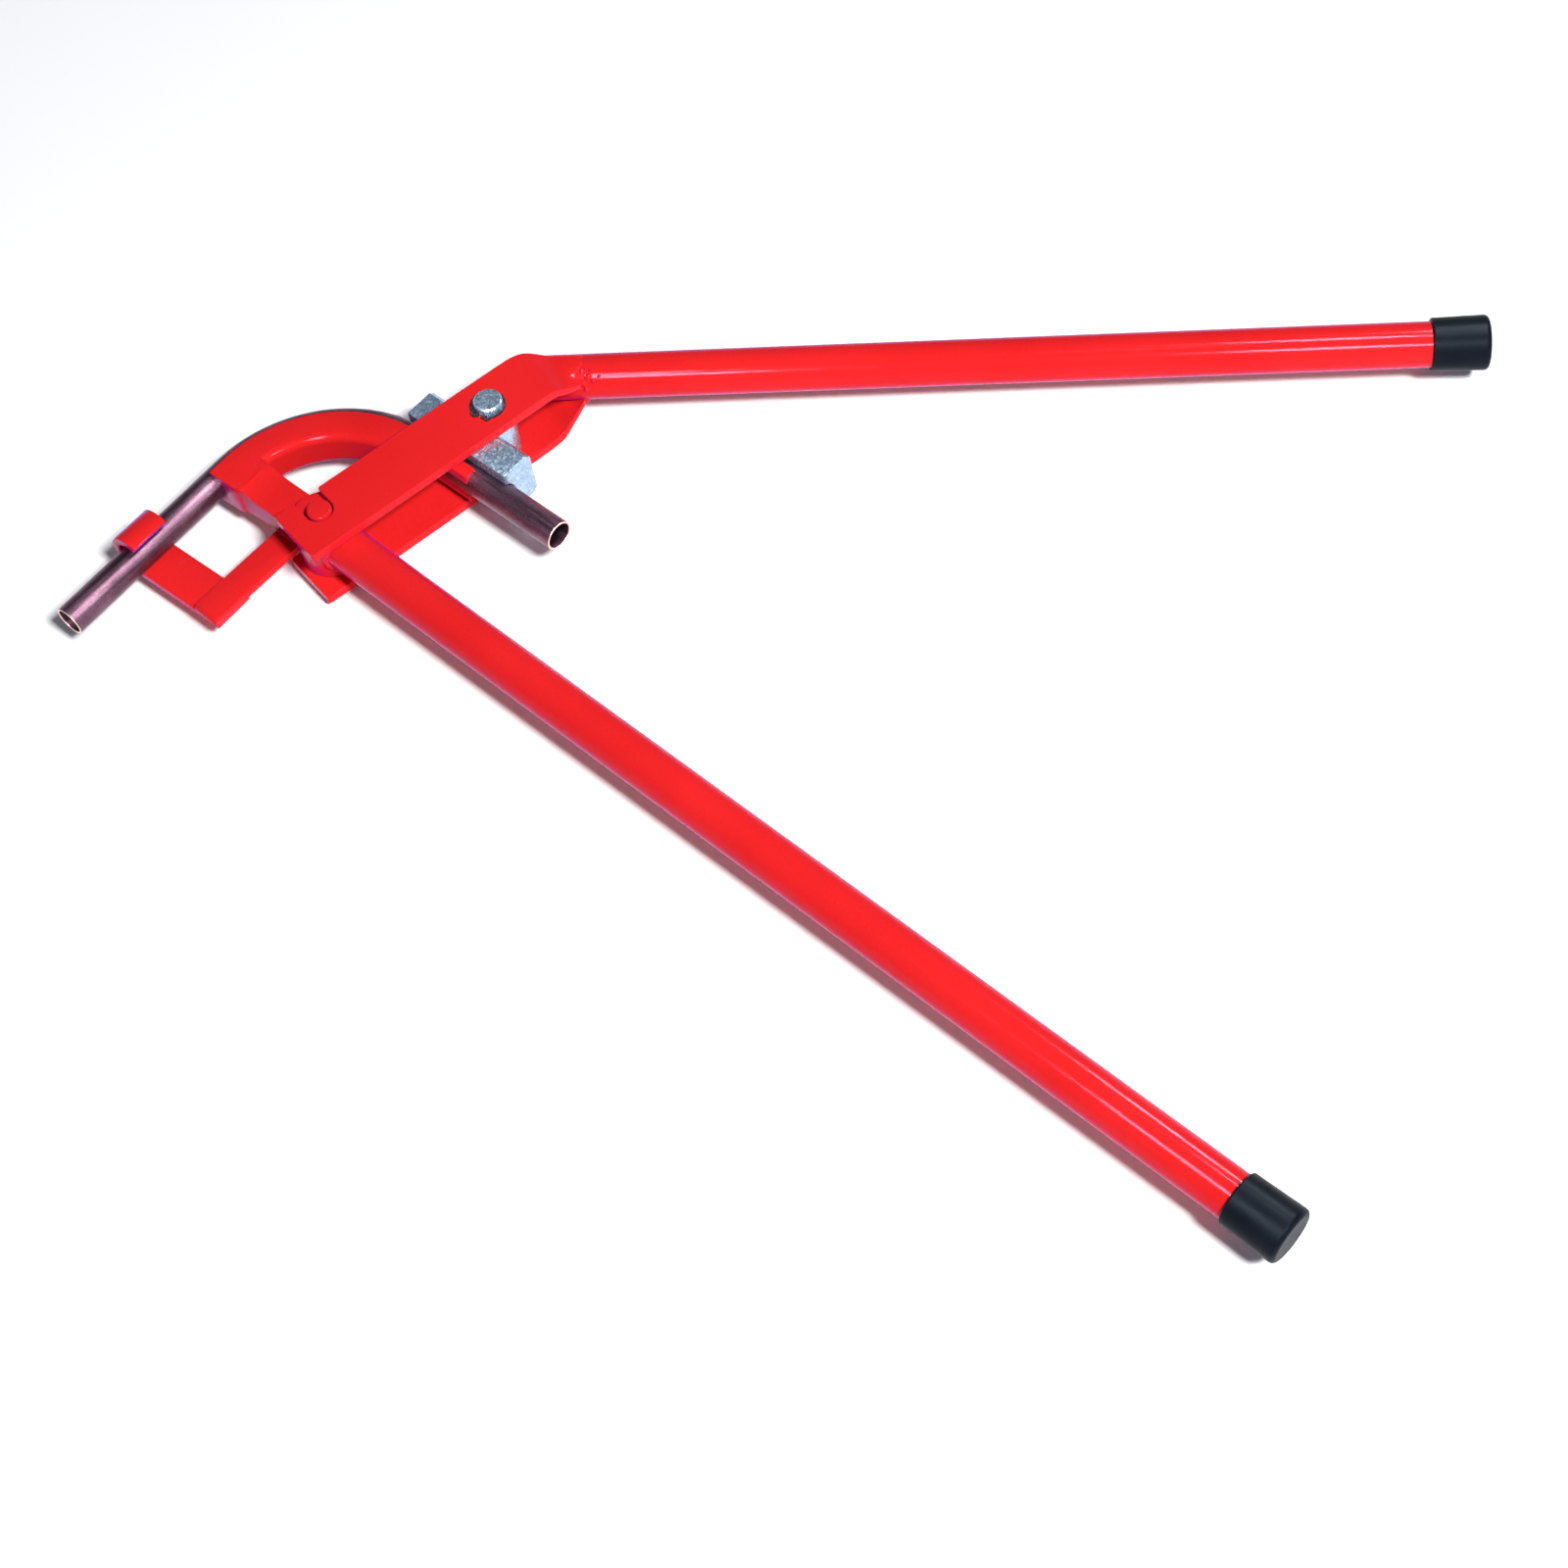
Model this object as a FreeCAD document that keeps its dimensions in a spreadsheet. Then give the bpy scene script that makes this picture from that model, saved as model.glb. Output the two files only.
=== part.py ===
import FreeCAD, Part
import math
import os
import re
import Sketcher

# Manual tube bender holding a 15 mm copper tube that it has just bent.
# The bending plane is XY and +Z runs along the pivot pin. The origin is the centre of the bend, on
# the pivot's axis and halfway up the tool. The fixed handle runs along -Y and the tube's held leg
# along -X. The lever is two cheeks, a handle tube and the pin of the pressure shoe.

# ---------------------------------------------------------------- driving dimensions, mm and degrees
SIZES = [
    ("BendRadius", 66.0, "centreline radius of the bend"),
    ("BendAngle", 92.0, "bend of the tube, a little past square"),
    ("TubeDiameter", 15.0, "copper tube, outside"),
    ("TubeWall", 1.0, "copper tube, wall"),
    ("LeftLeg", 108.0, "straight tube past the bend, hook side"),
    ("RightLeg", 89.0, "straight tube past the bend, shoe side"),
    ("FormerHeight", 19.0, "height of the former's rim"),
    ("FormerInner", 50.0, "radius of the rim's inside"),
    ("FormerRound", 4.0, "rounding of the rim's inside edges"),
    ("GrooveGap", 0.1, "groove radius over tube radius, former"),
    ("BlockReach", 10.5, "rim past the bend, hook side"),
    ("BlockInner", 46.5, "radius of the block's inside"),
    ("BlockRound", 4.0, "rounding of the block's inner corner"),
    ("TongueReach", 35.5, "rim past the bend, shoe side"),
    ("TongueThickness", 6.5, "thickness of the rim there"),
    ("ArmWidth", 19.5, "width of the spoke from hub to rim"),
    ("ArmSide", 11.0, "spoke's hook side from the pivot's axis"),
    ("ArmHeight", 12.5, "height of the spoke"),
    ("ArmRise", 12.0, "length of the slope from spoke to rim"),
    ("HubDiameter", 30.0, "hub round the pivot pin"),
    ("HubHeight", 27.2, "height of the hub"),
    ("PinDiameter", 12.0, "pivot pin"),
    ("PinLength", 40.0, "pivot pin, end to end"),
    ("PinBevel", 0.8, "bevel at a pin's ends"),
    ("RunningGap", 0.05, "radial clearance of a hinge"),
    ("HandleDiameter", 22.0, "both handle tubes, outside"),
    ("HandleWall", 2.0, "both handle tubes, wall"),
    ("LowerHandleTurn", 0.9, "fixed handle's lean from -Y"),
    ("LowerHandleEnd", 552.5, "fixed handle's tube end from the pivot"),
    ("CapDiameter", 26.2, "handle cap, outside at its end"),
    ("CapMouth", 25.0, "handle cap, outside at its mouth"),
    ("CapLength", 27.0, "handle cap, end to end"),
    ("CapEnd", 3.0, "thickness of the cap's closed end"),
    ("CapRound", 2.4, "rounding of the cap's end"),
    ("BarWidth", 15.3, "flat bar from hub to hook"),
    ("BarThickness", 4.0, "thickness of that bar"),
    ("BarSide", 9.0, "bar's near side from the pivot's axis"),
    ("BarReach", 67.0, "bar's free end from the pivot's axis"),
    ("HookThickness", 4.0, "thickness of the hook's strip"),
    ("HookWidth", 21.0, "width of the hook's strip"),
    ("HookSide", 65.5, "hook's far side along the held leg"),
    ("HookFoot", 12.6, "hook's foot from the pivot's axis"),
    ("HookCurl", 8.8, "inside radius of the hook's curl"),
    ("HookWrap", 26.0, "how far the hook curls past its crown"),
    ("ForkTurn", 9.6, "cheeks' lean below +X"),
    ("CheekGap", 28.0, "space between the cheeks"),
    ("CheekThickness", 5.0, "thickness of a cheek"),
    ("CheekTop", 11.4, "cheek's notched edge from the pivot's axis"),
    ("CheekBottom", 20.3, "cheek's other edge from the pivot's axis"),
    ("CheekHeel", 18.0, "cheek's end behind the pivot"),
    ("CheekNose", 130.5, "cheek's bend from the pivot's axis"),
    ("NoseTurn", 18.8, "slant of the cheek's bend"),
    ("NoseTop", 2.6, "where the nose's corner leaves the bend"),
    ("HeelRound", 2.0, "rounding of the heel's corners"),
    ("ElbowTurn", 41.0, "handle's turn from the cheeks"),
    ("HandleOffset", 89.7, "handle's axis from the pivot's axis"),
    ("HandleStart", 91.0, "handle tube's start along its axis"),
    ("UpperHandleEnd", 545.0, "handle tube's end along its axis"),
    ("TailEnd", 117.0, "end of the cheek's tail along that axis"),
    ("TailOuter", 11.0, "tail end's lower corner from the handle's axis"),
    ("TailInner", 4.0, "tail end's upper corner from that axis"),
    ("TailLow", 8.0, "height of its lower corner"),
    ("TailHigh", 12.3, "height of its upper corner"),
    ("TailThickness", 3.6, "thickness of the tail's end"),
    ("ShoeReach", 27.5, "shoe pin from the tube's axis"),
    ("ShoeAhead", 21.0, "shoe pin past the tangent point"),
    ("ShoeLength", 64.0, "length of the pressure shoe"),
    ("ShoeFace", 3.0, "shoe's face from the tube's axis"),
    ("ShoeBack", 20.5, "back of the shoe's rail, likewise"),
    ("ShoeHeight", 27.2, "height of the shoe"),
    ("ShoeBoss", 21.0, "width of the boss round the shoe pin"),
    ("ShoeGap", 0.3, "groove radius over tube radius, shoe"),
    ("ShoeBevel", 2.5, "bevel along the rail's back edges"),
    ("ShoePin", 14.0, "shoe pin"),
    ("ShoePinLength", 46.0, "shoe pin, end to end"),
    ("ClipBore", 12.8, "circlip's inside, and its groove"),
    ("ClipOuter", 17.0, "circlip's outside"),
    ("ClipShift", 0.5, "circlip's outside off centre"),
    ("ClipThickness", 1.2, "circlip's thickness"),
    ("ClipLug", 4.2, "circlip's lug across"),
    ("ClipLugReach", 7.4, "lugs from the pin's axis"),
    ("ClipGap", 2.0, "gap between the lugs"),
    ("ClipHole", 1.3, "plier hole in a lug"),
    ("ClipTurn", 195.0, "direction of the circlip's gap"),
    ("Bead", 2.0, "radius of a weld bead"),
    ("TailBeadLow", 62.0, "tail's bead, arc towards its lower corner"),
    ("TailBeadHigh", 24.0, "tail's bead, arc towards its upper corner"),
]

doc = FreeCAD.newDocument("TubeBender")
sheet = doc.addObject("Spreadsheet::Sheet", "Sizes")
for row, (alias, number, meaning) in enumerate(SIZES, start=1):
    sheet.set("A%d" % row, meaning)
    sheet.set("B%d" % row, str(number))
    sheet.setAlias("B%d" % row, alias)
doc.recompute()
ALIASES = re.compile(r"\b(" + "|".join(alias for alias, _, _ in SIZES) + r")\b")

# Expressions that several pieces share.
TUBE_RADIUS = "TubeDiameter / 2"
HANDLE_RADIUS = "HandleDiameter / 2"
HANDLE_TURN = "(ForkTurn + ElbowTurn) * 1 deg"
HANDLE_X = "HandleOffset * sin(%s)" % HANDLE_TURN
HANDLE_Y = "HandleOffset * cos(%s)" % HANDLE_TURN
FORK = "ForkTurn * 1 deg"
PIN_ALONG = "(BendRadius + ShoeReach) * cos(%s) + ShoeAhead * sin(%s)" % (FORK, FORK)
PIN_ACROSS = "(BendRadius + ShoeReach) * sin(%s) - ShoeAhead * cos(%s)" % (FORK, FORK)
CHEEK_INSIDE = "CheekGap / 2"
CHEEK_OUTSIDE = "(CheekGap / 2 + CheekThickness)"
NOSE = "NoseTurn * 1 deg"


# ---------------------------------------------------------------- helpers
def sized(expression):
    """The expression with each alias pointing at the sheet."""
    return ALIASES.sub(r"Sizes.\1", expression)


def value(expression):
    """The expression's number."""
    result = sheet.evalExpression(sized(expression))
    return float(getattr(result, "Value", result))


def bind(item, **expressions):
    """Bind properties to the sheet. Two underscores stand for the dot in a property's path."""
    for path, expression in expressions.items():
        item.setExpression(path.replace("__", "."), sized(expression))


def new_body(label, angle="0", x="0", y="0", z="0"):
    """An empty body, turned about Z and moved by the sheet."""
    body = doc.addObject("PartDesign::Body", label)
    body.Label = label
    body.Placement = FreeCAD.Placement(FreeCAD.Vector(), FreeCAD.Rotation(FreeCAD.Vector(0, 0, 1), 1))
    bind(body, Placement__Rotation__Angle=angle)
    bind(body, Placement__Base__x=x, Placement__Base__y=y, Placement__Base__z=z)
    doc.recompute()
    return body


def handle_body(label):
    """A body whose +X runs along the lever's handle."""
    return new_body(label, "-(ForkTurn + ElbowTurn)", HANDLE_X, HANDLE_Y)


def fixed_handle_body(label):
    """A body whose +X runs along the fixed handle."""
    return new_body(label, "-90 - LowerHandleTurn")


def origin_plane(body, role):
    return next(item for item in body.Origin.OriginFeatures if item.Role == role)


def new_sketch(body, role, offset="0"):
    """An empty sketch on one of the body's own origin planes, moved along its normal."""
    sketch = body.newObject("Sketcher::SketchObject", body.Name + "_sketch")
    sketch.AttachmentSupport = [(origin_plane(body, role), "")]
    sketch.MapMode = "FlatFace"
    bind(sketch, AttachmentOffset__Base__z=offset)
    return sketch


def slanted_sketch(body, turn, along):
    """A sketch on the YZ plane turned about Z, then moved along its own normal."""
    sketch = new_sketch(body, "YZ_Plane")
    slant = FreeCAD.Rotation(FreeCAD.Vector(0, 1, 0), 1)
    sketch.AttachmentOffset = FreeCAD.Placement(FreeCAD.Vector(), slant)
    bind(sketch, AttachmentOffset__Rotation__Angle=turn)
    bind(sketch, AttachmentOffset__Base__x="(%s) * sin((%s) * 1 deg)" % (along, turn))
    bind(sketch, AttachmentOffset__Base__z="(%s) * cos((%s) * 1 deg)" % (along, turn))
    return sketch


def constrain(sketch, kind, references, expression):
    """One measured constraint, bound to the sheet."""
    number = value(expression)
    if kind == "Angle":
        number = math.radians(number)
    index = sketch.addConstraint(Sketcher.Constraint(kind, *references, number))
    sketch.setExpression("Constraints[%d]" % index, sized(expression))


def outline(sketch, corners):
    """A closed outline of straight sides through corners given as pairs of expressions."""
    first = sketch.GeometryCount
    points = [FreeCAD.Vector(value(x), value(y), 0) for x, y in corners]
    for start, end in zip(points, points[1:] + points[:1]):
        sketch.addGeometry(Part.LineSegment(start, end))
    for index, (x, y) in enumerate(corners):
        following = first + (index + 1) % len(corners)
        sketch.addConstraint(Sketcher.Constraint("Coincident", first + index, 2, following, 1))
        constrain(sketch, "DistanceX", (-1, 1, first + index, 1), x)
        constrain(sketch, "DistanceY", (-1, 1, first + index, 1), y)


def rectangle(sketch, left, right, low, high):
    outline(sketch, [(left, low), (right, low), (right, high), (left, high)])


def circle(sketch, diameter, x="0", y="0"):
    centre = FreeCAD.Vector(value(x), value(y), 0)
    index = sketch.addGeometry(Part.Circle(centre, FreeCAD.Vector(0, 0, 1), value(diameter) / 2))
    constrain(sketch, "Diameter", (index,), diameter)
    constrain(sketch, "DistanceX", (-1, 1, index, 3), x)
    constrain(sketch, "DistanceY", (-1, 1, index, 3), y)


def pad(body, sketch, length, centred=False):
    made = body.newObject("PartDesign::Pad", body.Name + "_pad")
    made.Profile = sketch
    made.Midplane = centred
    bind(made, Length=length)
    doc.recompute()


def pocket(body, sketch):
    """A cut right through the body, both ways from the sketch."""
    made = body.newObject("PartDesign::Pocket", body.Name + "_pocket")
    made.Profile = sketch
    made.Type = 1
    made.Midplane = True
    doc.recompute()


def revolve(body, sketch, axis, angle="360", back=None):
    """Turn the sketch about its own H_Axis or V_Axis, and the other way too where back says so."""
    made = body.newObject("PartDesign::Revolution", body.Name + "_revolution")
    made.Profile = sketch
    made.ReferenceAxis = (sketch, [axis])
    bind(made, Angle=angle)
    if back is not None:
        made.Type = "TwoAngles"
        bind(made, Angle2=back)
    doc.recompute()


def loft(body, first, last):
    made = body.newObject("PartDesign::AdditiveLoft", body.Name + "_loft")
    made.Profile = first
    made.Sections = [last]
    made.Ruled = True
    doc.recompute()


def dress(body, kind, test, size):
    """A Fillet or Chamfer on those edges of the body that pass the test."""
    base = body.Tip
    names = ["Edge%d" % number for number, edge in enumerate(base.Shape.Edges, start=1) if test(edge)]
    made = body.newObject("PartDesign::" + kind, body.Name + "_" + kind.lower())
    made.Base = (base, names)
    bind(made, **{"Radius" if kind == "Fillet" else "Size": size})
    doc.recompute()


def upright(x, y):
    """A test for edges along Z through the point (x, y) of the body."""
    wanted = (value(x), value(y))

    def test(edge):
        box = edge.BoundBox
        off = max(abs(box.Center.x - wanted[0]), abs(box.Center.y - wanted[1]))
        return box.XLength < 0.01 and box.YLength < 0.01 and off < 0.05

    return test


def round_edge(radius, centre_x=None, height=None):
    """A test for circular edges of one radius, at one place along X or at one height."""
    wanted = value(radius)

    def test(edge):
        if not isinstance(edge.Curve, Part.Circle) or abs(edge.Curve.Radius - wanted) > 0.01:
            return False
        if centre_x is not None and abs(edge.Curve.Center.x - value(centre_x)) > 0.01:
            return False
        return height is None or abs(abs(edge.Curve.Center.z) - value(height)) < 0.01

    return test


def bend_path(body, left, right):
    """The tube's centreline: a straight leg, the bend and the other straight leg."""
    sketch = new_sketch(body, "XY_Plane")
    radius = value("BendRadius")
    turn = math.radians(value("BendAngle"))
    start = FreeCAD.Vector(radius, 0, 0)
    finish = FreeCAD.Vector(radius * math.cos(turn), radius * math.sin(turn), 0)
    along = FreeCAD.Vector(-math.sin(turn), math.cos(turn), 0)
    whole = Part.Circle(FreeCAD.Vector(), FreeCAD.Vector(0, 0, 1), radius)
    sketch.addGeometry(Part.LineSegment(FreeCAD.Vector(radius, -value(right), 0), start))
    sketch.addGeometry(Part.ArcOfCircle(whole, 0, turn))
    sketch.addGeometry(Part.LineSegment(finish, finish + along * value(left)))
    sketch.addConstraint(Sketcher.Constraint("Coincident", 1, 3, -1, 1))
    sketch.addConstraint(Sketcher.Constraint("PointOnObject", 1, 1, -1))
    sketch.addConstraint(Sketcher.Constraint("Tangent", 0, 2, 1, 1))
    sketch.addConstraint(Sketcher.Constraint("Tangent", 1, 2, 2, 1))
    constrain(sketch, "Radius", (1,), "BendRadius")
    constrain(sketch, "Distance", (0,), right)
    constrain(sketch, "Distance", (2,), left)
    constrain(sketch, "Angle", (2,), "(BendAngle + 90) * 1 deg")
    return sketch


def pipe(body, kind, diameter, path, right):
    """Sweep a circle along the bend from its shoe end."""
    profile = new_sketch(body, "XZ_Plane", right)
    circle(profile, diameter, "BendRadius")
    made = body.newObject("PartDesign::" + kind, body.Name + "_pipe")
    made.Profile = profile
    made.Spine = (path, [])
    doc.recompute()


# ---------------------------------------------------------------- fixed side
def make_former():
    """Cast former: grooved rim, block and tongue at its ends, spoke and hub."""
    body = new_body("bending_former")
    section = new_sketch(body, "XZ_Plane")
    rectangle(section, "FormerInner", "BendRadius", "-FormerHeight / 2", "FormerHeight / 2")
    revolve(body, section, "V_Axis", "BendAngle")
    dress(body, "Fillet", round_edge("FormerInner"), "FormerRound")
    block = slanted_sketch(body, "BendAngle - 90", "-BlockReach")
    rectangle(block, "BlockInner", "BendRadius", "-FormerHeight / 2", "FormerHeight / 2")
    pad(body, block, "BlockReach + ArmSide / 2")
    turn = "BendAngle * 1 deg"
    corner_x = "BlockInner * cos(%s) - BlockReach * sin(%s)" % (turn, turn)
    corner_y = "BlockInner * sin(%s) + BlockReach * cos(%s)" % (turn, turn)
    dress(body, "Fillet", upright(corner_x, corner_y), "BlockRound")
    tongue = new_sketch(body, "XY_Plane")
    outline(tongue, [
        ("FormerInner + 1", "0.5"),
        ("BendRadius - TongueThickness", "-BlockReach"),
        ("BendRadius - TongueThickness", "-TongueReach"),
        ("BendRadius", "-TongueReach"),
        ("BendRadius", "0.5"),
    ])
    pad(body, tongue, "FormerHeight", centred=True)
    spoke = new_sketch(body, "YZ_Plane", "-ArmSide")
    outline(spoke, [
        ("0", "-ArmHeight / 2"),
        ("FormerInner - ArmRise", "-ArmHeight / 2"),
        ("FormerInner", "-FormerHeight / 2"),
        ("FormerInner + ArmRise", "-FormerHeight / 2"),
        ("FormerInner + ArmRise", "FormerHeight / 2"),
        ("FormerInner", "FormerHeight / 2"),
        ("FormerInner - ArmRise", "ArmHeight / 2"),
        ("0", "ArmHeight / 2"),
    ])
    pad(body, spoke, "ArmWidth")
    hub = new_sketch(body, "XY_Plane")
    circle(hub, "HubDiameter")
    pad(body, hub, "HubHeight", centred=True)
    bore = new_sketch(body, "XY_Plane")
    circle(bore, "PinDiameter")
    pocket(body, bore)
    path = bend_path(body, "BlockReach + 5", "TongueReach + 5")
    pipe(body, "SubtractivePipe", "TubeDiameter + 2 * GrooveGap", path, "TongueReach + 5")


def make_pivot_pin():
    """Plain pin pressed into the hub, its ends standing out of the cheeks."""
    body = new_body("pivot_pin")
    profile = new_sketch(body, "XY_Plane", "-PinLength / 2")
    circle(profile, "PinDiameter")
    pad(body, profile, "PinLength")
    dress(body, "Chamfer", round_edge("PinDiameter / 2"), "PinBevel")


def make_tube(body, start, end):
    """Steel tube along the body's +X."""
    section = new_sketch(body, "YZ_Plane", start)
    circle(section, "HandleDiameter")
    circle(section, "HandleDiameter - 2 * HandleWall")
    pad(body, section, "%s - %s" % (end, start))


def make_cap(body, tube_end):
    """Moulded cap over a tube's end."""
    mouth = "%s + CapEnd - CapLength" % tube_end
    outside = "CapDiameter / 2"
    profile = new_sketch(body, "XZ_Plane")
    outline(profile, [
        (mouth, HANDLE_RADIUS),
        (tube_end, HANDLE_RADIUS),
        (tube_end, "0"),
        ("%s + CapEnd" % tube_end, "0"),
        ("%s + CapEnd" % tube_end, outside),
        (mouth, "CapMouth / 2"),
    ])
    revolve(body, profile, "H_Axis")
    dress(body, "Fillet", round_edge(outside, "%s + CapEnd" % tube_end), "CapRound")
    dress(body, "Fillet", round_edge("CapMouth / 2", mouth), "CapRound / 3")


def make_lower_handle():
    """Fixed handle: its end is coped round the hub."""
    body = fixed_handle_body("lower_handle_tube")
    make_tube(body, "HubDiameter / 4", "LowerHandleEnd")
    cope = new_sketch(body, "XY_Plane")
    circle(cope, "HubDiameter")
    pocket(body, cope)
    make_cap(fixed_handle_body("lower_handle_cap"), "LowerHandleEnd")


def make_hook_bar():
    """Flat bar from the spoke out to the hook. It lies on the hook's strip."""
    body = new_body("hook_arm_bar")
    plan = new_sketch(body, "XY_Plane", "-" + TUBE_RADIUS)
    rectangle(plan, "-BarReach", "-ArmSide", "BarSide", "BarSide + BarWidth")
    pad(body, plan, "BarThickness")
    cope = new_sketch(body, "XY_Plane")
    circle(cope, "HubDiameter")
    pocket(body, cope)


def make_hook():
    """Strip under the bar and the tube's held leg, curled up and over the tube."""
    body = new_body("tube_hook", "BendAngle - 90")
    side = new_sketch(body, "YZ_Plane", "-HookSide")
    rectangle(side, "HookFoot", "BendRadius", "-%s - HookThickness" % TUBE_RADIUS, "-" + TUBE_RADIUS)
    pad(body, side, "HookWidth")
    curl = new_sketch(body, "YZ_Plane", "-HookSide")
    middle = "(HookCurl - %s)" % TUBE_RADIUS
    circle(curl, "2 * HookCurl + 2 * HookThickness", "BendRadius", middle)
    circle(curl, "2 * HookCurl", "BendRadius", middle)
    pad(body, curl, "HookWidth")
    mouth = new_sketch(body, "YZ_Plane")
    far = "BendRadius - 2 * HookCurl"
    wrap = "HookWrap * 1 deg"
    lip = "(HookCurl + 2 * HookThickness)"
    lip_top = "%s + %s * cos(%s)" % (middle, lip, wrap)
    outline(mouth, [
        ("BendRadius", middle),
        ("BendRadius - %s * sin(%s)" % (lip, wrap), lip_top),
        (far, lip_top),
        (far, "-" + TUBE_RADIUS),
        ("BendRadius", "-" + TUBE_RADIUS),
    ])
    pocket(body, mouth)


def make_copper_tube():
    """The workpiece: a drawn tube with one bend."""
    body = new_body("copper_tube")
    path = bend_path(body, "LeftLeg", "RightLeg")
    pipe(body, "AdditivePipe", "TubeDiameter", path, "RightLeg")
    pipe(body, "SubtractivePipe", "TubeDiameter - 2 * TubeWall", path, "RightLeg")


# ---------------------------------------------------------------- lever
def make_cheek(label, side):
    """Flat bar hooked on the pivot pin, its nose bent in and saddled on the handle tube."""
    body = new_body(label, "-ForkTurn")
    low, high = (CHEEK_INSIDE, CHEEK_OUTSIDE) if side > 0 else ("-" + CHEEK_OUTSIDE, "-" + CHEEK_INSIDE)
    plan = new_sketch(body, "XY_Plane", low)
    outline(plan, [
        ("-CheekHeel", "-CheekBottom"),
        ("CheekNose - CheekBottom * tan(%s)" % NOSE, "-CheekBottom"),
        ("CheekNose + NoseTop * tan(%s)" % NOSE, "NoseTop"),
        ("CheekNose + NoseTop * tan(%s)" % NOSE, "CheekTop"),
        ("-CheekHeel", "CheekTop"),
    ])
    pad(body, plan, "CheekThickness")
    corner = upright("CheekNose + NoseTop * tan(%s)" % NOSE, "CheekTop")
    dress(body, "Fillet", corner, "CheekTop - NoseTop - 0.1")
    dress(body, "Fillet", upright("-CheekHeel", "CheekTop"), "HeelRound")
    dress(body, "Fillet", upright("-CheekHeel", "-CheekBottom"), "HeelRound")

    bend = slanted_sketch(body, "-NoseTurn", "CheekNose * cos(%s)" % NOSE)
    top = "CheekNose * sin(%s)" % NOSE
    rectangle(bend, "%s - CheekBottom / cos(%s)" % (top, NOSE), "%s + NoseTop / cos(%s)" % (top, NOSE), low, high)
    end = slanted_sketch(body, "-ElbowTurn", "TailEnd")
    corners = [
        ("HandleOffset - TailOuter", "TailLow - TailThickness"),
        ("HandleOffset + TailInner", "TailHigh - TailThickness"),
        ("HandleOffset + TailInner", "TailHigh"),
        ("HandleOffset - TailOuter", "TailLow"),
    ]
    if side < 0:
        corners = [(x, "-(%s)" % y) for x, y in reversed(corners)]
        corners = corners[-1:] + corners[:-1]
    outline(end, corners)
    loft(body, bend, end)
    saddle = slanted_sketch(body, "-ElbowTurn", "TailEnd")
    circle(saddle, "HandleDiameter", "HandleOffset")
    pocket(body, saddle)

    notch = new_sketch(body, "XY_Plane")
    half = "(PinDiameter / 2 + RunningGap)"
    rectangle(notch, "-" + half, half, "0", "CheekTop + 1")
    pocket(body, notch)
    seat = new_sketch(body, "XY_Plane")
    circle(seat, "2 * " + half)
    pocket(body, seat)
    hole = new_sketch(body, "XY_Plane")
    circle(hole, "ShoePin", PIN_ALONG, PIN_ACROSS)
    pocket(body, hole)


def make_upper_handle():
    body = handle_body("upper_handle_tube")
    make_tube(body, "HandleStart", "UpperHandleEnd")
    make_cap(handle_body("upper_handle_cap"), "UpperHandleEnd")


def make_shoe_pin():
    """Pin through both cheeks and the shoe, with a circlip groove outside each cheek."""
    body = new_body("shoe_pin", "-ForkTurn", "BendRadius + ShoeReach", "-ShoeAhead")
    radius = "ShoePin / 2"
    half = "ShoePinLength / 2"
    groove_end = "(%s + ClipThickness + 0.1)" % CHEEK_OUTSIDE
    corners = [("0", "-" + half), (radius + " - PinBevel", "-" + half), (radius, "PinBevel - " + half)]
    corners += [(radius, "-" + groove_end), ("ClipBore / 2", "-" + groove_end)]
    corners += [("ClipBore / 2", "-" + CHEEK_OUTSIDE), (radius, "-" + CHEEK_OUTSIDE)]
    corners += [(radius, CHEEK_OUTSIDE), ("ClipBore / 2", CHEEK_OUTSIDE)]
    corners += [("ClipBore / 2", groove_end), (radius, groove_end)]
    corners += [(radius, half + " - PinBevel"), (radius + " - PinBevel", half), ("0", half)]
    profile = new_sketch(body, "XZ_Plane")
    outline(profile, corners)
    revolve(body, profile, "V_Axis")


def make_circlip(label, low):
    """External circlip: an eccentric ring with two drilled lugs either side of its gap."""
    body = new_body(label, "ClipTurn", "BendRadius + ShoeReach", "-ShoeAhead", low)
    ring = new_sketch(body, "XY_Plane")
    circle(ring, "ClipOuter", "ClipShift")
    pad(body, ring, "ClipThickness")
    lug_y = "(ClipGap + ClipLug) / 2"
    for place in (lug_y, "-" + lug_y):
        lug = new_sketch(body, "XY_Plane")
        circle(lug, "ClipLug", "ClipLugReach", place)
        pad(body, lug, "ClipThickness")
    inside = new_sketch(body, "XY_Plane")
    circle(inside, "ClipBore")
    pocket(body, inside)
    gap = new_sketch(body, "XY_Plane")
    rectangle(gap, "0", "ClipOuter", "-ClipGap / 2", "ClipGap / 2")
    pocket(body, gap)
    for place in (lug_y, "-" + lug_y):
        hole = new_sketch(body, "XY_Plane")
        circle(hole, "ClipHole", "ClipLugReach + ClipShift", place)
        pocket(body, hole)


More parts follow.
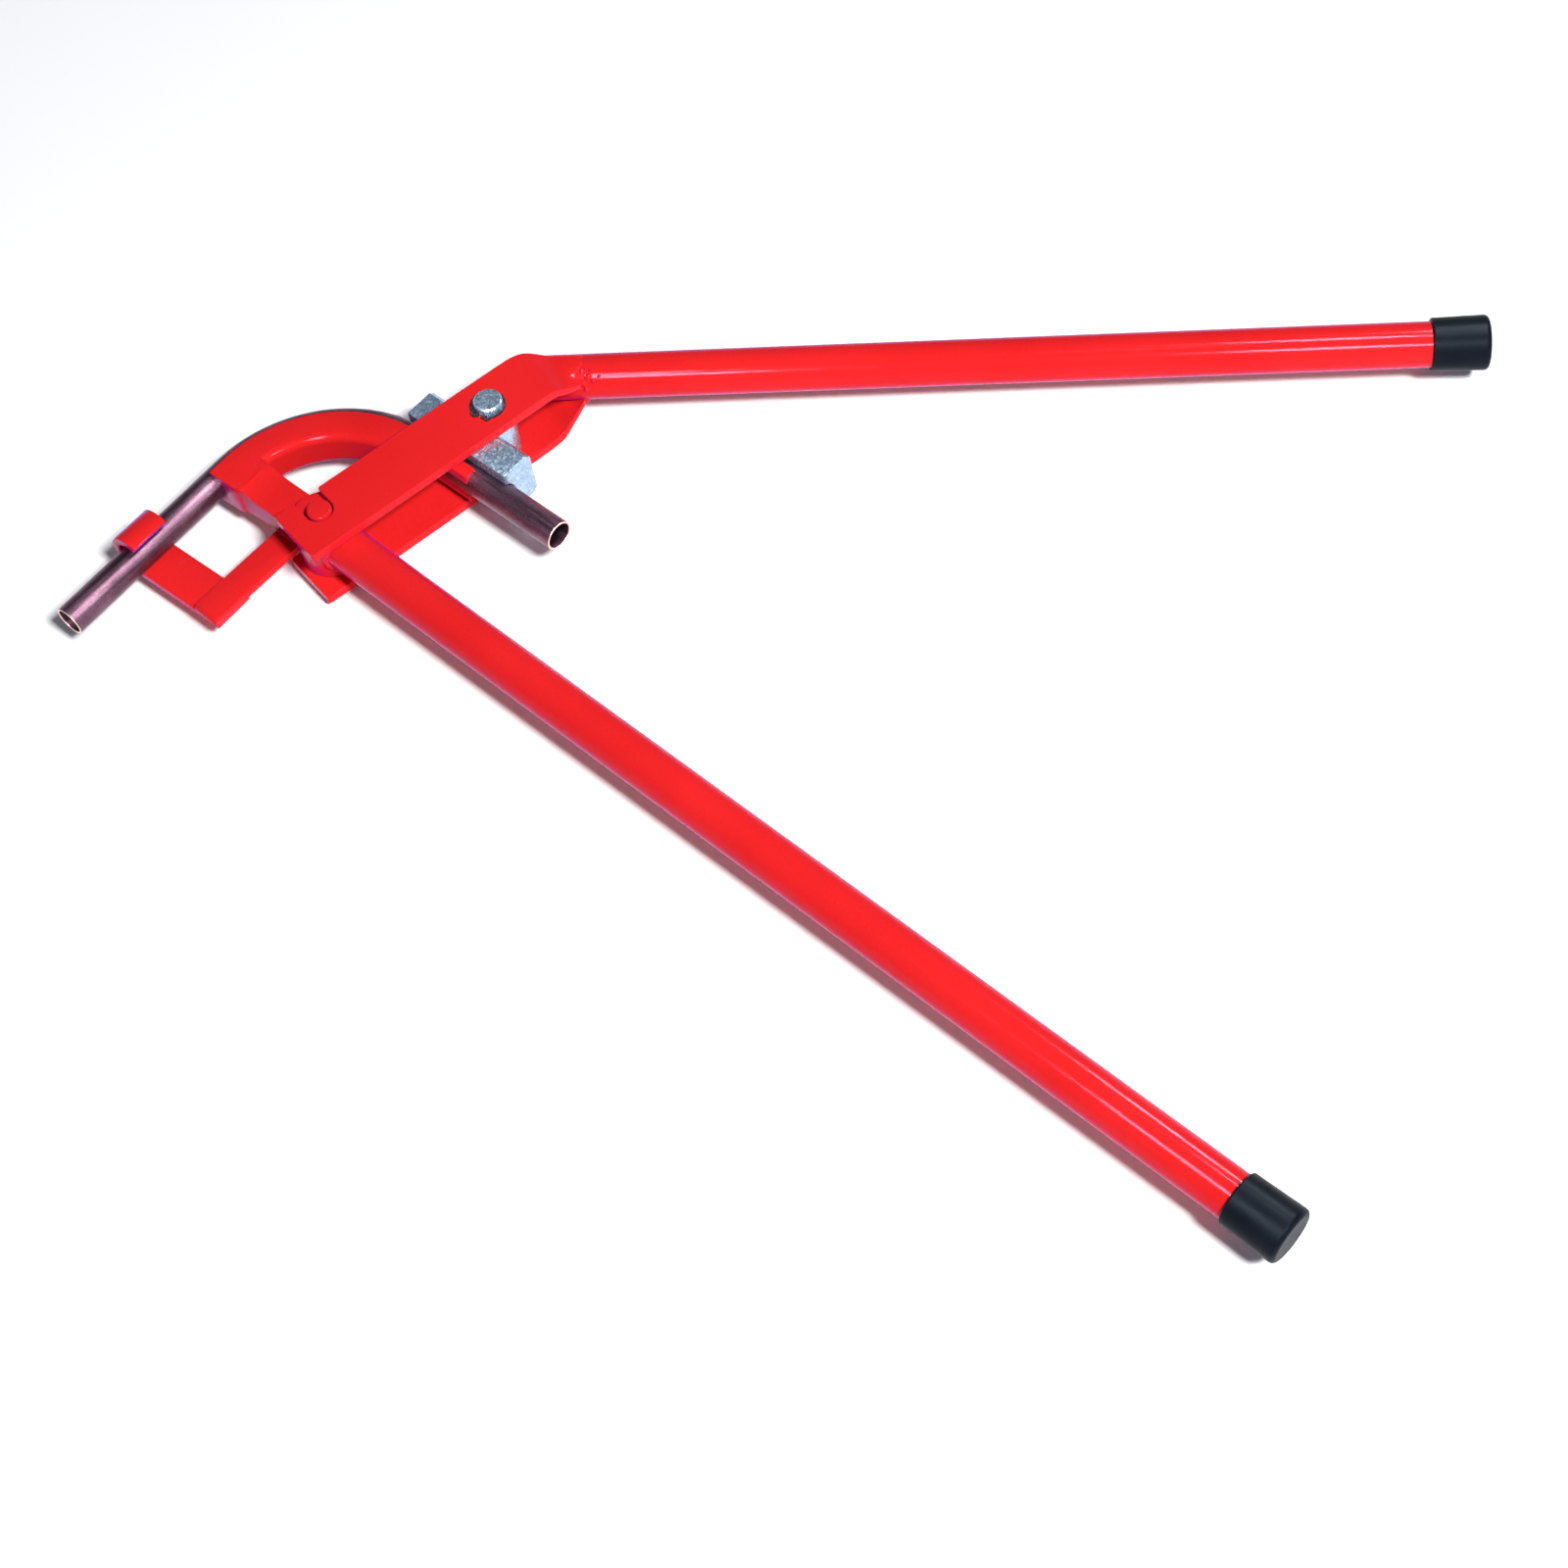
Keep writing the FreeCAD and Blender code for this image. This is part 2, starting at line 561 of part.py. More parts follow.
# ---------------------------------------------------------------- pressure shoe
def make_shoe():
    """Grooved steel rail with a boss round its pin. Its frame stands on the pin's axis."""
    body = new_body("pressure_shoe", "0", "BendRadius + ShoeReach", "-ShoeAhead")
    rail = new_sketch(body, "XY_Plane")
    face, back = "ShoeFace - ShoeReach", "ShoeBack - ShoeReach"
    rectangle(rail, face, back, "-ShoeLength / 2", "ShoeLength / 2")
    pad(body, rail, "ShoeHeight", centred=True)

    def back_edge(edge):
        box = edge.BoundBox
        return box.YLength > value("ShoeLength") - 1 and box.XMin > value(back) - 0.1

    dress(body, "Chamfer", back_edge, "ShoeBevel")
    web = new_sketch(body, "XY_Plane")
    rectangle(web, back + " - 2 * ShoeBevel", "0", "-ShoeBoss / 2", "ShoeBoss / 2")
    pad(body, web, "ShoeHeight", centred=True)
    boss = new_sketch(body, "XY_Plane")
    circle(boss, "ShoeBoss")
    pad(body, boss, "ShoeHeight", centred=True)
    groove = new_sketch(body, "XZ_Plane")
    circle(groove, "TubeDiameter + 2 * ShoeGap", "-ShoeReach")
    pocket(body, groove)
    hole = new_sketch(body, "XY_Plane")
    circle(hole, "ShoePin + 2 * RunningGap")
    pocket(body, hole)


# ---------------------------------------------------------------- weld beads
def make_tail_weld(label, side):
    """Bead across the end of a cheek's tail, round the handle tube."""
    body = handle_body(label)
    section = new_sketch(body, "XZ_Plane")
    if side > 0:
        circle(section, "2 * Bead", "TailEnd", HANDLE_RADIUS)
        revolve(body, section, "H_Axis", "TailBeadHigh", back="TailBeadLow")
    else:
        circle(section, "2 * Bead", "TailEnd", "-" + HANDLE_RADIUS)
        revolve(body, section, "H_Axis", "TailBeadLow", back="TailBeadHigh")


def make_handle_weld():
    """Bead round the fixed handle where it meets the hub."""
    body = fixed_handle_body("weld_handle_to_hub")
    section = new_sketch(body, "XZ_Plane")
    circle(section, "2 * Bead", "HubDiameter / 2", HANDLE_RADIUS)
    revolve(body, section, "H_Axis")


def make_bar_welds():
    """Beads where the flat bar meets the spoke, and where the hook's strip meets the bar."""
    spoke_weld = new_body("weld_bar_to_former")
    section = new_sketch(spoke_weld, "XZ_Plane", "-BarSide - BarWidth")
    circle(section, "2 * Bead", "-ArmSide", "BarThickness - " + TUBE_RADIUS)
    pad(spoke_weld, section, "BarWidth")
    hook_weld = new_body("weld_hook_to_bar")
    section = new_sketch(hook_weld, "YZ_Plane", "Bead - BarReach")
    circle(section, "1.6 * Bead", "BarSide + BarWidth", "-" + TUBE_RADIUS)
    pad(hook_weld, section, "HookWidth - 2 * Bead")


# ---------------------------------------------------------------- build, check and export
make_former()
make_pivot_pin()
make_lower_handle()
make_hook_bar()
make_hook()
make_copper_tube()
make_cheek("lever_cheek_upper", 1)
make_cheek("lever_cheek_lower", -1)
make_upper_handle()
make_shoe_pin()
make_circlip("circlip_upper", CHEEK_OUTSIDE + " + 0.05")
make_circlip("circlip_lower", "-%s - ClipThickness - 0.05" % CHEEK_OUTSIDE)
make_shoe()
make_tail_weld("weld_cheek_upper", 1)
make_tail_weld("weld_cheek_lower", -1)
make_handle_weld()
make_bar_welds()
doc.recompute()

for item in doc.Objects:
    if "Invalid" in item.State or "Error" in item.State:
        raise RuntimeError("%s is %s" % (item.Label, item.State))
bodies = [item for item in doc.Objects if item.TypeId == "PartDesign::Body"]
for body in bodies:
    if body.Shape.isNull() or not body.Shape.isValid():
        raise RuntimeError(body.Label + " has no valid shape")
    if len(body.Shape.Solids) != 1:
        raise RuntimeError("%s has %d solids" % (body.Label, len(body.Shape.Solids)))

os.makedirs("parts", exist_ok=True)
for body in bodies:
    body.Shape.exportStep("parts/" + body.Label + ".step")
    print("%-22s %9.0f mm3" % (body.Label, body.Shape.Volume))
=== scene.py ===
import math
import random

import bmesh
import bpy
from mathutils import Matrix, Vector


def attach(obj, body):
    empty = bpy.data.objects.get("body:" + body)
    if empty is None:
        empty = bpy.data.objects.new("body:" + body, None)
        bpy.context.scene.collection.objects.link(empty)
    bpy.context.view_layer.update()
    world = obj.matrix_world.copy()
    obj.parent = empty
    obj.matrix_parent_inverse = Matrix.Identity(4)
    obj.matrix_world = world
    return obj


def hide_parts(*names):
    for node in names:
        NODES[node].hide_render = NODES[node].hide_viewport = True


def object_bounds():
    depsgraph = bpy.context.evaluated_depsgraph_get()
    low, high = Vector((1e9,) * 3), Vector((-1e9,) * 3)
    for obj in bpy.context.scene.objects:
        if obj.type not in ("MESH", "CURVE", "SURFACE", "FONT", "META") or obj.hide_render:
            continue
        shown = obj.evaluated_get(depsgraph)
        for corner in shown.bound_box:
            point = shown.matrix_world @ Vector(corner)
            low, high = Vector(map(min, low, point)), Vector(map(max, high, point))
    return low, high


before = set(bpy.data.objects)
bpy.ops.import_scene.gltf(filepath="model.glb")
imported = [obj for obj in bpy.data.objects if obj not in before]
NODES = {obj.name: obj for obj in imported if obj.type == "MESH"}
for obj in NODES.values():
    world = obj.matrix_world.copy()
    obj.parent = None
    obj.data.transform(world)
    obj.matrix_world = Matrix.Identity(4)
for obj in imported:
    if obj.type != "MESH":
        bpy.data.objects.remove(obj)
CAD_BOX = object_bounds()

MM = 0.001

# ---------------------------------------------------------------- camera
CAMERA_PLACE = Vector((-0.3979, -0.7399, 1.0399))
CAMERA_RIGHT = Vector((0.64832, -0.75677, -0.08350))
CAMERA_UP = Vector((0.67709, 0.52293, 0.51777))
CAMERA_LENS, CAMERA_SENSOR = 63.95, 36.0
CAMERA_NEAR, CAMERA_FAR = 0.05, 30.0


def make_camera():
    """The photograph's camera: its place and the directions of the picture's right and top."""
    data = bpy.data.cameras.new("camera")
    data.sensor_width = CAMERA_SENSOR
    data.lens = CAMERA_LENS
    data.clip_start = CAMERA_NEAR
    data.clip_end = CAMERA_FAR
    camera = bpy.data.objects.new("camera", data)
    bpy.context.scene.collection.objects.link(camera)
    right = CAMERA_RIGHT.normalized()
    back = right.cross(CAMERA_UP).normalized()
    up = back.cross(right)
    turn = Matrix((right, up, back)).transposed()
    camera.matrix_world = Matrix.Translation(CAMERA_PLACE) @ turn.to_4x4()
    bpy.context.scene.camera = camera


make_camera()


# ---------------------------------------------------------------- sizes of the bent tube, in mm and degrees
BEND_RADIUS, BEND_TURN = 66.0, 92.0
FREE_LEG, HELD_LEG = 89.0, 108.0
TUBE_OUTSIDE, TUBE_INSIDE = 7.5, 6.5
TUBE_AROUND = 72
# The cut rims: how far back their edges are rounded, and the share of the wall left flat.
CUT_ROUND, RIM_SHARE = 0.28, 0.55
# How far from a cut end its bright copper is full, and where it has gone.
CUT_FULL, CUT_GONE = 0.15, 0.4
# Half the length over which the streaks turn from one leg to the other.
LEG_BLEND = 4.0


# ---------------------------------------------------------------- node graphs
WHITE = (1.0, 1.0, 1.0)
CUT_COPPER = (0.93, 0.62, 0.55, 1.0)
# The mix node's sockets for colours.
MIX_FIRST, MIX_SECOND, MIX_RESULT = 6, 7, 2


def fill_ramp(node, stops):
    """Give a colour ramp its stops, each a position and a colour."""
    elements = node.color_ramp.elements
    while len(elements) < len(stops):
        elements.new(0.5)
    for element, (position, colour) in zip(elements, stops):
        element.position = position
        element.color = (*colour, 1.0)


class Graph:
    """A short way to write a material's nodes."""

    def __init__(self, name):
        self.material = bpy.data.materials.new(name)
        self.material.use_nodes = True
        self.tree = self.material.node_tree
        self.shader = self.tree.nodes["Principled BSDF"]
        self.place = self.add("ShaderNodeTexCoord").outputs["Object"]

    def add(self, kind, **inputs):
        """A new node with its inputs fed by name."""
        node = self.tree.nodes.new(kind)
        for key, value in inputs.items():
            self.feed(node.inputs[key.replace("_", " ")], value)
        return node

    def feed(self, socket, value):
        """Link a socket, or set a plain value on it."""
        if isinstance(value, bpy.types.NodeSocket):
            self.tree.links.new(value, socket)
        else:
            socket.default_value = value

    def set(self, **inputs):
        """Feed the shader's inputs by name."""
        for key, value in inputs.items():
            self.feed(self.shader.inputs[key.replace("_", " ")], value)

    def moved(self, turn=(0, 0, 0), scale=(1, 1, 1)):
        """The object's coordinates turned in degrees and scaled."""
        node = self.add("ShaderNodeMapping", Vector=self.place)
        node.inputs["Rotation"].default_value = [math.radians(angle) for angle in turn]
        node.inputs["Scale"].default_value = scale
        return node.outputs["Vector"]

    def noise(self, scale, detail=3.0, rough=0.5, place=None):
        """Cloudy noise from 0 to 1."""
        node = self.add("ShaderNodeTexNoise", Vector=place or self.place, Scale=scale, Detail=detail,
                        Roughness=rough)
        return node.outputs["Fac"]

    def cells(self, scale, output="Color"):
        """Voronoi cells: a colour for each, or the distance from its centre."""
        return self.add("ShaderNodeTexVoronoi", Vector=self.place, Scale=scale).outputs[output]

    def channel(self, colour, index):
        """One channel of a colour."""
        return self.add("ShaderNodeSeparateColor", Color=colour).outputs[index]

    def axis(self, place, name):
        """One axis of a place."""
        return self.add("ShaderNodeSeparateXYZ", Vector=place).outputs[name]

    def spread(self, value, low, high, start=0.0, end=1.0):
        """Map a value from start..end to low..high."""
        node = self.add("ShaderNodeMapRange", Value=value)
        for key, number in (("From Min", start), ("From Max", end), ("To Min", low), ("To Max", high)):
            node.inputs[key].default_value = number
        return node.outputs["Result"]

    def mask(self, value, full, gone):
        """One where a value is under the first bound, none where it is over the second."""
        return self.spread(value, 1.0, 0.0, full, gone)

    def mix(self, factor, first, second, kind="MIX"):
        """Mix two colours."""
        node = self.tree.nodes.new("ShaderNodeMix")
        node.data_type = "RGBA"
        node.blend_type = kind
        self.feed(node.inputs["Factor"], factor)
        self.feed(node.inputs[MIX_FIRST], first)
        self.feed(node.inputs[MIX_SECOND], second)
        return node.outputs[MIX_RESULT]

    def times(self, first, second):
        """Two colours multiplied."""
        return self.mix(1.0, first, second, "MULTIPLY")

    def ramp(self, value, *stops):
        """A value as colours."""
        node = self.add("ShaderNodeValToRGB", Fac=value)
        fill_ramp(node, stops)
        return node.outputs["Color"]

    def larger(self, first, second):
        """The larger of two values."""
        node = self.tree.nodes.new("ShaderNodeMath")
        node.operation = "MAXIMUM"
        self.feed(node.inputs[0], first)
        self.feed(node.inputs[1], second)
        return node.outputs[0]

    def bump(self, height, strength, distance, normal=None):
        """A bumped normal, on top of another one if given."""
        node = self.add("ShaderNodeBump", Height=height, Strength=strength, Distance=distance)
        if normal is not None:
            self.feed(node.inputs["Normal"], normal)
        return node.outputs["Normal"]


def red_paint():
    """Thick gloss powder coat: slow shifts of tone, orange peel and a few pimples, with a painted lavender
    reflection on faces seen at a grazing angle.
    """
    g = Graph("red_paint")
    slow = g.noise(14.0, 2.0)
    speck = g.noise(900.0, 2.0)
    tone = g.ramp(slow, (0.3, (0.62, 0.0125, 0.013)), (0.7, (0.69, 0.0165, 0.017)))
    speckle = g.ramp(speck, (0.35, (0.95, 0.95, 0.95)), (0.6, WHITE))
    g.set(Base_Color=g.times(tone, speckle))
    g.set(Roughness=g.spread(g.noise(60.0), 0.10, 0.16, 0.3, 0.7))
    # Painted reflection: the lavender specular tint and the purple sheen give faces seen at a grazing angle a
    # lavender cast that stands in for the reflected floor.
    g.set(IOR=1.16, Specular_Tint=(0.8, 0.6, 1.0, 1.0))
    g.set(Sheen_Weight=0.5, Sheen_Roughness=0.3, Sheen_Tint=(0.1, 0.0, 1.0, 1.0))
    peel = g.bump(g.noise(420.0, 2.0), 0.05, 0.0003)
    pimple = g.mask(g.cells(60.0, "Distance"), 0.0, 0.04)
    g.set(Normal=g.bump(pimple, 0.25, 0.0002, peel))
    return g.material


def copper_skin():
    """Drawn copper gone dull: purple-brown tarnish streaked along the tube, bright where it was cut."""
    g = Graph("copper_skin")
    free_axis = g.axis(g.place, "Y")
    held_axis = g.axis(g.moved(turn=(0, 0, 90.0 - BEND_TURN)), "X")
    free_leg = g.mask(free_axis, -LEG_BLEND * MM, LEG_BLEND * MM)
    cloud = g.noise(45.0, 5.0, 0.6)
    held_streaks = g.noise(420.0, 3.0, 0.6, g.moved(scale=(0.05, 1.0, 1.0)))
    free_streaks = g.noise(420.0, 3.0, 0.6, g.moved(scale=(1.0, 0.05, 1.0)))
    streaks = g.mix(free_leg, held_streaks, free_streaks)
    tarnish = g.ramp(cloud, (0.25, (0.14, 0.068, 0.10)), (0.5, (0.24, 0.125, 0.18)),
                     (0.78, (0.37, 0.22, 0.29)))
    grain = g.noise(1300.0, 2.0, 0.7)
    streak_marks = g.ramp(streaks, (0.3, (0.6, 0.58, 0.6)), (0.65, WHITE))
    grain_marks = g.ramp(grain, (0.35, (0.62, 0.62, 0.62)), (0.62, WHITE))
    body = g.times(tarnish, g.times(streak_marks, grain_marks))
    cut_free = g.mask(free_axis, (CUT_FULL - FREE_LEG) * MM, (CUT_GONE - FREE_LEG) * MM)
    cut_held = g.mask(held_axis, (CUT_FULL - HELD_LEG) * MM, (CUT_GONE - HELD_LEG) * MM)
    g.set(Base_Color=g.mix(g.larger(cut_free, cut_held), body, CUT_COPPER))
    g.set(Metallic=1.0)
    g.set(Roughness=g.spread(streaks, 0.32, 0.5, 0.25, 0.75))
    g.set(Coat_Weight=0.12, Coat_Roughness=0.1)
    g.set(Normal=g.bump(streaks, 0.03, 0.0001))
    return g.material


def zinc():
    """Zinc plate with fine spangle: small pale and dark grains under a cool grey."""
    g = Graph("zinc")
    grains = g.channel(g.cells(1200.0), 0)
    patches = g.channel(g.cells(330.0), 1)
    cloud = g.noise(130.0, 4.0, 0.65)
    fine = g.ramp(grains, (0.0, (0.40, 0.56, 0.72)), (0.75, (0.49, 0.66, 0.84)),
                  (1.0, (0.72, 0.86, 1.0)))
    broad = g.ramp(patches, (0.0, (0.80, 0.82, 0.85)), (1.0, WHITE))
    shade = g.ramp(cloud, (0.3, (0.84, 0.86, 0.88)), (0.7, WHITE))
    g.set(Base_Color=g.times(g.times(fine, broad), shade))
    g.set(Metallic=0.8)
    g.set(Roughness=g.spread(grains, 0.22, 0.42))
    g.set(Normal=g.bump(g.mix(0.5, grains, cloud), 0.12, 0.0002))
    return g.material


def dark_steel():
    """Oiled spring steel with a stamped grain."""
    g = Graph("dark_steel")
    grain = g.noise(500.0, 4.0, 0.6)
    g.set(Base_Color=g.ramp(grain, (0.3, (0.035, 0.04, 0.05)), (0.7, (0.12, 0.13, 0.15))))
    g.set(Metallic=0.85)
    g.set(Roughness=g.spread(grain, 0.3, 0.5, 0.3, 0.7))
    g.set(Normal=g.bump(grain, 0.2, 0.0001))
    return g.material


def black_cap():
    """Dipped vinyl: almost black with a blue cast, satin, finely pebbled."""
    g = Graph("black_cap")
    cloud = g.noise(55.0, 4.0, 0.6)
    pebble = g.noise(1500.0, 3.0, 0.6)
    g.set(Base_Color=g.ramp(cloud, (0.3, (0.003, 0.0045, 0.008)), (0.7, (0.006, 0.008, 0.014))))
    g.set(Roughness=g.spread(cloud, 0.36, 0.46, 0.3, 0.7))
    g.set(Specular_IOR_Level=0.06, Specular_Tint=(0.7, 0.85, 1.0, 1.0))
    g.set(Normal=g.bump(pebble, 0.22, 0.0002, g.bump(cloud, 0.12, 0.0006)))
    return g.material


def studio_floor():
    """Matt white paper."""
    g = Graph("studio_floor")
    mottle = g.noise(3.0, 2.0)
    g.set(Base_Color=g.ramp(mottle, (0.3, (0.92, 0.925, 0.935)), (0.7, (0.93, 0.935, 0.94))))
    g.set(Roughness=g.spread(mottle, 0.75, 0.85))
    return g.material


RED = red_paint()
COPPER = copper_skin()
ZINC = zinc()
DARK = dark_steel()
BLACK = black_cap()


# ---------------------------------------------------------------- mesh helpers
# Corners nearer than this are one, and faces that meet flatter than this are one.
WELD_DISTANCE = 0.002 * MM
FLAT_ANGLE = math.radians(0.4)
# Edges sharper than this are rounded.
SHARP_ANGLE = math.radians(35.0)
SOFT_SEGMENTS = 3


def edit(made, change):
    """Run a bmesh change on an object's mesh."""
    work = bmesh.new()
    work.from_mesh(made.data)
    change(work)
    work.to_mesh(made.data)
    work.free()


def new_object(name, points, faces):
    """A mesh object from points in millimetres."""
    mesh = bpy.data.meshes.new(name)
    mesh.from_pydata([Vector(point) * MM for point in points], [], faces)
    mesh.validate()
    made = bpy.data.objects.new(name, mesh)
    bpy.context.scene.collection.objects.link(made)
    edit(made, lambda work: bmesh.ops.recalc_face_normals(work, faces=work.faces))
    return made


def circle_turns(around):
    """The cosine and sine of each step round a circle."""
    turns = [math.tau * step / around for step in range(around)]
    return [(math.cos(turn), math.sin(turn)) for turn in turns]


def skin(start, rings, around, closed=False):
    """Quads between rings of points that follow each other from an index on."""
    faces = []
    for ring in range(rings if closed else rings - 1):
        here, there = start + ring * around, start + (ring + 1) % rings * around
        for i in range(around):
            j = (i + 1) % around
            faces.append((here + i, here + j, there + j, there + i))
    return faces


def smooth(made):
    """Shade every face smooth."""
    for face in made.data.polygons:
        face.use_smooth = True


def apply_modifiers(made):
    """Turn an object's modifiers into plain mesh."""
    graph = bpy.context.evaluated_depsgraph_get()
    mesh = bpy.data.meshes.new_from_object(made.evaluated_get(graph))
    made.modifiers.clear()
    made.data = mesh


def soften(made, width):
    """Round every sharp edge and shade the flat faces flat."""
    bevel = made.modifiers.new("bevel", "BEVEL")
    bevel.width = width * MM
    bevel.segments = SOFT_SEGMENTS
    bevel.limit_method = "ANGLE"
    bevel.angle_limit = SHARP_ANGLE
    bevel.use_clamp_overlap = True
    bevel.harden_normals = True
    bevel.miter_outer = "MITER_ARC"
    smooth(made)
    apply_modifiers(made)


def round_edges(work, edges, offset, segments):
    """Round chosen edges of a bmesh."""
    bmesh.ops.bevel(work, geom=edges, offset=offset * MM, offset_type="OFFSET", segments=segments,
                    profile=0.5, affect="EDGES", clamp_overlap=True)


def node_copy(node, name):
    """A CAD node's mesh as a new object, its flat faces whole again."""
    made = bpy.data.objects.new(name, NODES[node].data.copy())
    bpy.context.scene.collection.objects.link(made)

    def clean(work):
        bmesh.ops.remove_doubles(work, verts=work.verts, dist=WELD_DISTANCE)
        bmesh.ops.dissolve_limit(work, angle_limit=FLAT_ANGLE, verts=work.verts, edges=work.edges)

    edit(made, clean)
    return made


def piece(made, material, slot, body, *nodes):
    """Dress a piece and let it ride in place of its CAD nodes; the slot argument is not used."""
    made.data.materials.clear()
    made.data.materials.append(material)
    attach(made, body)
    if nodes:
        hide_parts(*nodes)


# ---------------------------------------------------------------- lever cheeks, in mm in the fork's own frame
FORK_TURN = math.radians(-9.6)
ELBOW_TURN = math.radians(41.0)
HANDLE_OFFSET, HANDLE_RADIUS = 89.7, 11.0
CHEEK_LOW, CHEEK_HIGH, CHEEK_HEEL = -20.3, 11.4, -18.0
CHEEK_FACE, CHEEK_PLATE, CHEEK_SOFT = 19.0, 5.0, 0.8
CHEEK_ACROSS, CHEEK_ALONG = 16, 48
# The tail on the handle tube: its end, its edges across the tube, its thickness and its height.
TAIL_END, TAIL_LOW, TAIL_HIGH, TAIL_PLATE = 117.0, -11.2, 4.4, 3.4
TAIL_SEAT, TAIL_TILT, TAIL_GAP = 8.0, 0.2, 0.35
# The line the nose bends at, and the nose's two outlines.
NOSE_X, NOSE_SLANT = 130.5, math.radians(18.8)
LOW_CURVE = ((108.0, -20.3), (122.0, -20.3), (132.0, -19.5), (139.8, -17.5))
HIGH_CURVE = ((117.0, 11.4), (127.0, 11.3), (135.0, 6.4), (150.0, -5.8))
# The fold: where it starts at each edge, where it ends, its heights there and its softness.
FOLD_LOW, FOLD_HIGH, FOLD_END = 0.5, -6.5, 5.6
FOLD_DROP_LOW, FOLD_DROP_HIGH = 14.2, 12.4
FOLD_SOFT, FOLD_CRISP = 2.6, 1.3
# Radii of the notch round the pivot pin, its corners and the heel's corners.
NOTCH, NOTCH_CORNER, HEEL_CORNER = 6.8, 1.5, 2.2
NOTCH_STEPS, NOTCH_CORNER_STEPS, HEEL_CORNER_STEPS = 40, 5, 6
SHOE_PIN, SHOE_PIN_HOLE, SHOE_PIN_STEPS = (95.69, -5.11), 7.03, 32


def in_handle(along, off):
    """A point given along and across the lever's handle, in the fork's own plane."""
    turn_x, turn_y = math.cos(ELBOW_TURN), math.sin(ELBOW_TURN)
    return Vector((along * turn_x + off * turn_y, off * turn_x - along * turn_y))


def bezier(points, t):
    """A point of a cubic Bezier curve."""
    a, b, c, d = [Vector(point) for point in points]
    s = 1.0 - t
    return s ** 3 * a + 3 * s * s * t * b + 3 * s * t * t * c + t ** 3 * d


def arc(x, y, radius, start, end, steps):
    """Points round part of a circle, in degrees."""
    turns = [math.radians(start + (end - start) * step / steps) for step in range(steps + 1)]
    return [(x + radius * math.cos(turn), y + radius * math.sin(turn)) for turn in turns]


def past_nose(point):
    """How far a point lies past the slanting line of the cheek's bend."""
    return (point.x - NOSE_X - point.y * math.tan(NOSE_SLANT)) * math.cos(NOSE_SLANT)


def eased(past, width):
    """Zero before a fold and the distance past it after, with a soft start."""
    return (past + math.sqrt(past * past + width * width)) / 2.0


def cheek_height(past, reach, share):
    """Height of a cheek's outer face: flat, then down a short slope, then along the handle."""
    off = TAIL_LOW + (TAIL_HIGH - TAIL_LOW) * share
    fold = FOLD_LOW + (FOLD_HIGH - FOLD_LOW) * share
    middle = FOLD_DROP_LOW + (FOLD_DROP_HIGH - FOLD_DROP_LOW) * share
    on_tube = math.sqrt(max(0.0, (HANDLE_RADIUS + TAIL_GAP) ** 2 - off ** 2))
    end = max(TAIL_SEAT + TAIL_TILT * (off + HANDLE_RADIUS), on_tube)
    steep = (CHEEK_FACE - middle) / (FOLD_END - fold)
    gentle = (middle - end) / (reach - FOLD_END)
    first_drop = steep * eased(past - fold, FOLD_SOFT)
    return CHEEK_FACE - first_drop + (steep - gentle) * eased(past - FOLD_END, FOLD_CRISP)


